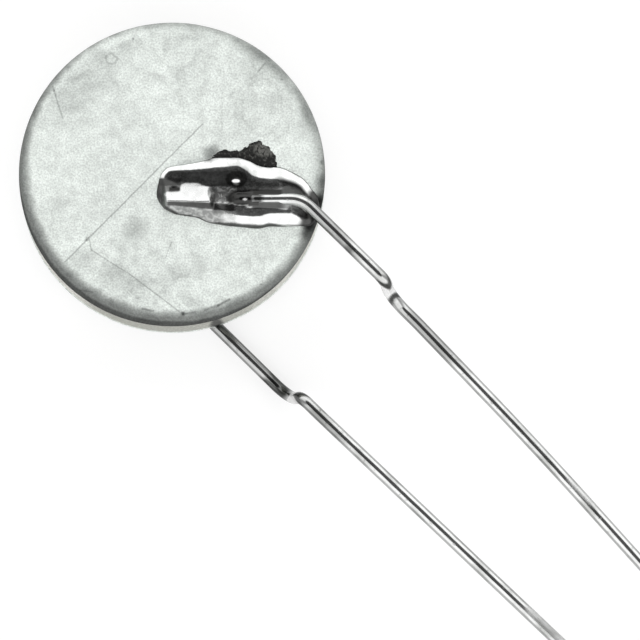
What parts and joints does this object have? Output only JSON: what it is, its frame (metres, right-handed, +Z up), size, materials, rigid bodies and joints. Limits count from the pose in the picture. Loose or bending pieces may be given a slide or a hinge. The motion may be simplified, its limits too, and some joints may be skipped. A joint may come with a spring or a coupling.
{
  "type": "ptc thermistor",
  "caption": "Uncoated ceramic disc thermistor with silvered faces, a wire soldered to each face, and kinked radial leads for through-hole mounting.",
  "frame": {"origin": "middle of the part's box in X and Y, on the surface that the part lies on", "axes": "+Z up out of the disc's front face, +X from the disc along its leads"},
  "size_m": [0.0392, 0.0124, 0.004],
  "materials": {
    "ceramic": "matte sintered ceramic, pale cream",
    "silver_film": "matte fired silver, faintly stained and scratched",
    "solder": "bright flowed solder with dull patches",
    "tinned_wire": "bright tinned wire",
    "burnt_flux": "rough black crust of burnt flux"
  },
  "bodies": {
    "root": {"ceramic_disc": "ceramic", "front_electrode": "silver_film", "rear_electrode": "silver_film", "front_solder_fillet": "solder", "rear_solder_fillet": "solder", "front_lead": "tinned_wire", "rear_lead": "tinned_wire", "flux_residue": "burnt_flux"}
  },
  "joints": []
}
